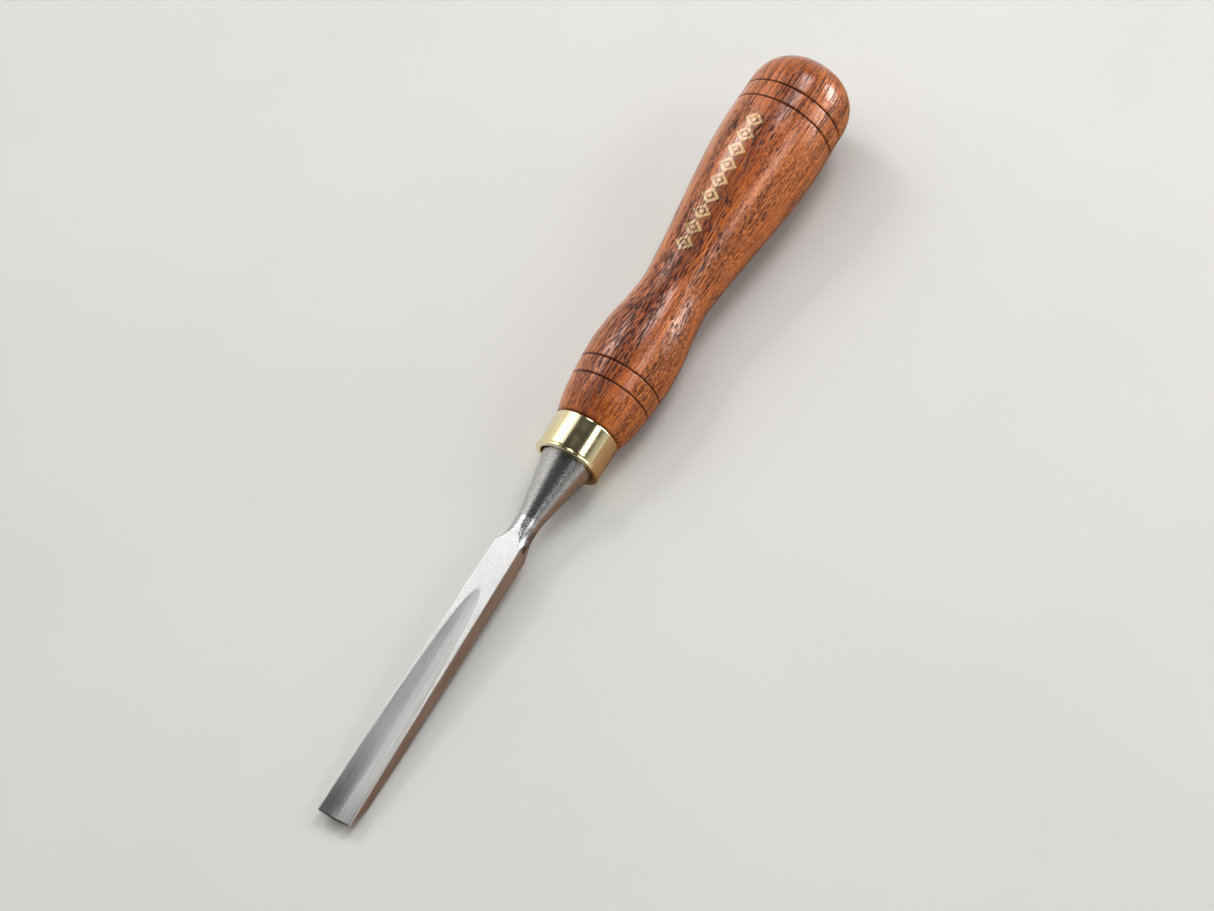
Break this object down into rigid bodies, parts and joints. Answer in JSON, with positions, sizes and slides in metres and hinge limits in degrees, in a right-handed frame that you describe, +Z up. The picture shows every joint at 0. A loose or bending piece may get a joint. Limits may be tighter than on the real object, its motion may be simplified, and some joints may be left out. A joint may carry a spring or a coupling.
{
  "type": "carving gouge",
  "caption": "Straight carving gouge with a shallow hollow in a flat steel blade, a brass ferrule and a turned, waisted hardwood handle.",
  "frame": {"origin": "on the surface that the tool lies on, below the middle of its bounding box", "axes": "+X from the cutting edge to the butt, +Y across the blade, +Z up; the tool lies with the hollow face up and its axis rises towards the butt by about four degrees"},
  "size_m": [0.25, 0.0302, 0.0343],
  "materials": {
    "blade_steel": "ground bright flats, a streaky grey hollow and a satin turned cone",
    "ferrule_brass": "polished",
    "handle_wood": "open-grained red-brown hardwood under gloss varnish"
  },
  "bodies": {
    "root": {"gouge_blade": "blade_steel", "ferrule": "ferrule_brass", "handle": "handle_wood"}
  },
  "joints": []
}
